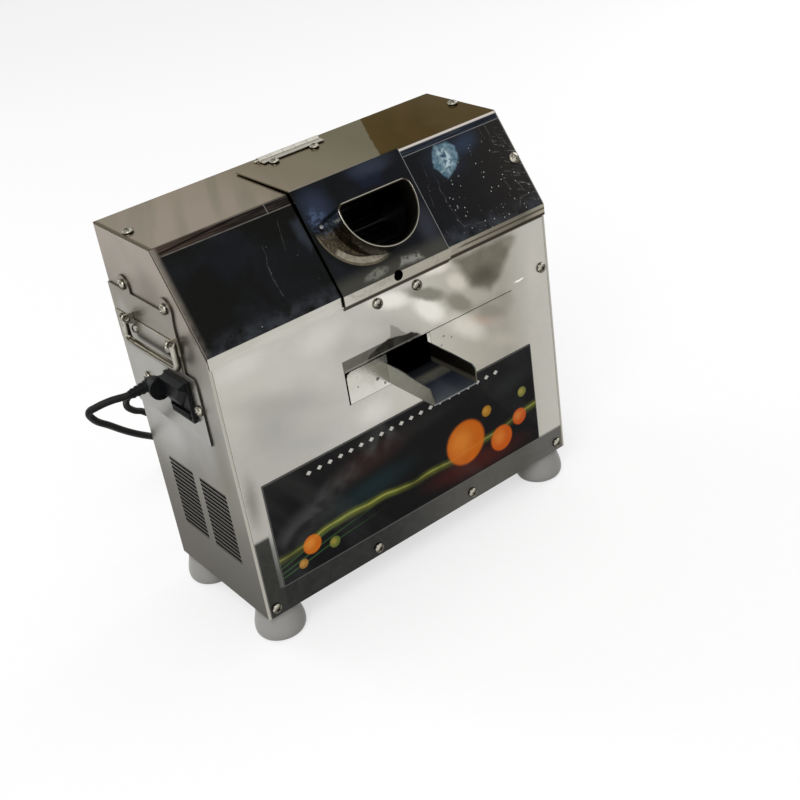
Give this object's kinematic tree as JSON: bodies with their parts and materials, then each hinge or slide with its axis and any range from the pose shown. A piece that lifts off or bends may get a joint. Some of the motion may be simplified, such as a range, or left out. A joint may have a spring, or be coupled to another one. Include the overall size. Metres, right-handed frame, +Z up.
{
  "type": "table-top sugarcane juicer",
  "caption": "Motor driven table-top sugarcane juicer with a sloping hood, hinged feed lid with a D shaped tube, fluted rollers, open spout, folding handles and mains cord.",
  "frame": {"origin": "middle of the footprint at table level, the mains cord left out", "axes": "+Z up, the front with spout and label faces -Y, +X to the right as seen from the front"},
  "size_m": [0.4249, 0.4003, 0.3659],
  "materials": {
    "mirror_steel": "mirror polished stainless sheet with faint scratches",
    "cabinet_steel": "polished stainless sheet",
    "bright_steel": "bright plated steel",
    "roller_steel": "machined steel",
    "gear_steel": "oiled dark steel",
    "gearbox_housing": "cast housing",
    "motor_housing": "painted ribbed housing",
    "fan_plastic": "moulded",
    "black_plastic": "moulded black",
    "switch_plastic": "glossy black",
    "cord_sheath": "matt black sheath",
    "foot_plastic": "light grey, slightly glossy",
    "label_film": null
  },
  "bodies": {
    "cabinet": {"bagasse_chute": "cabinet_steel", "base_pan": "cabinet_steel", "bearing_lower_left": "roller_steel", "bearing_lower_right": "roller_steel", "bearing_upper_left": "roller_steel", "bearing_upper_right": "roller_steel", "cord_coil": "cord_sheath", "cord_connector": "black_plastic", "feed_ramp": "cabinet_steel", "foot_front_left": "foot_plastic", "foot_front_right": "foot_plastic", "foot_rear_left": "foot_plastic", "foot_rear_right": "foot_plastic", "front_label": "label_film", "front_panel": "mirror_steel", "front_screw_low_left": "bright_steel", "front_screw_low_mid_left": "bright_steel", "front_screw_low_mid_right": "bright_steel", "front_screw_low_right": "bright_steel", "front_screw_side": "bright_steel", "front_screw_top_left": "bright_steel", "front_screw_top_right": "bright_steel", "gearbox": "gearbox_housing", "hinge_leaf_hood": "cabinet_steel", "hinge_pin": "bright_steel", "hood": "mirror_steel", "juice_tray": "cabinet_steel", "left_bearing_cheek": "gear_steel", "left_handle_plate": "cabinet_steel", "left_side_panel": "cabinet_steel", "mains_plug": "black_plastic", "motor": "motor_housing", "motor_cradle": "gear_steel", "plate_screw_ear_front": "bright_steel", "plate_screw_ear_rear": "bright_steel", "plate_screw_low_front": "bright_steel", "plate_screw_low_rear": "bright_steel", "power_cord": "cord_sheath", "power_inlet": "black_plastic", "rear_panel": "cabinet_steel", "right_bearing_cheek": "gear_steel", "right_handle_plate": "cabinet_steel", "right_side_panel": "cabinet_steel", "service_plate": "mirror_steel", "top_screw_left": "bright_steel", "top_screw_right": "bright_steel"},
    "lid": {"lid_flap": "mirror_steel", "feed_tube": "cabinet_steel", "hinge_leaf_lid": "cabinet_steel"},
    "left_bail": {"left_handle": "bright_steel"},
    "right_bail": {"right_handle": "bright_steel"},
    "rocker": {"rocker_switch": "switch_plastic"},
    "lower_roller_set": {"lower_roller": "roller_steel", "lower_roller_gear": "gear_steel", "main_gear": "gear_steel"},
    "upper_roller_set": {"upper_roller": "roller_steel", "upper_roller_gear": "gear_steel"},
    "pinion": {"drive_pinion": "gear_steel"},
    "fan": {"motor_fan": "fan_plastic"}
  },
  "joints": [
    {"name": "lid_hinge", "type": "hinge", "parent": "cabinet", "child": "lid", "pos_m": [0.0084, 0.08175, 0.36335], "axis": [-1, 0, 0], "range_deg": [0, 100]},
    {"name": "left_handle_pivot", "type": "hinge", "parent": "cabinet", "child": "left_bail", "pos_m": [-0.1828, 0.02375, 0.288], "axis": [0, 1, 0], "range_deg": [0, 90]},
    {"name": "right_handle_pivot", "type": "hinge", "parent": "cabinet", "child": "right_bail", "pos_m": [0.1828, 0.02375, 0.288], "axis": [0, -1, 0], "range_deg": [0, 90]},
    {"name": "switch_rocker", "type": "hinge", "parent": "cabinet", "child": "rocker", "pos_m": [-0.1768, 0.0037, 0.2206], "axis": [0, 1, 0], "range_deg": [0, 10]},
    {"name": "lower_roller_spin", "type": "hinge", "parent": "cabinet", "child": "lower_roller_set", "pos_m": [0.0099, 0.01905, 0.2685], "axis": [1, 0, 0], "continuous": true},
    {"name": "upper_roller_spin", "type": "hinge", "parent": "cabinet", "child": "upper_roller_set", "pos_m": [0.0099, 0.04831, 0.31149], "axis": [1, 0, 0], "continuous": true},
    {"name": "pinion_spin", "type": "hinge", "parent": "cabinet", "child": "pinion", "pos_m": [0.0909, 0.01905, 0.1925], "axis": [1, 0, 0], "continuous": true},
    {"name": "fan_spin", "type": "hinge", "parent": "cabinet", "child": "fan", "pos_m": [-0.0791, 0.02175, 0.099], "axis": [1, 0, 0], "continuous": true}
  ],
  "couplings": [
    {"joint": "upper_roller_spin", "follows": "lower_roller_spin", "ratio": -1},
    {"joint": "pinion_spin", "follows": "lower_roller_spin", "ratio": -3.75},
    {"joint": "fan_spin", "follows": "lower_roller_spin", "ratio": -30}
  ]
}
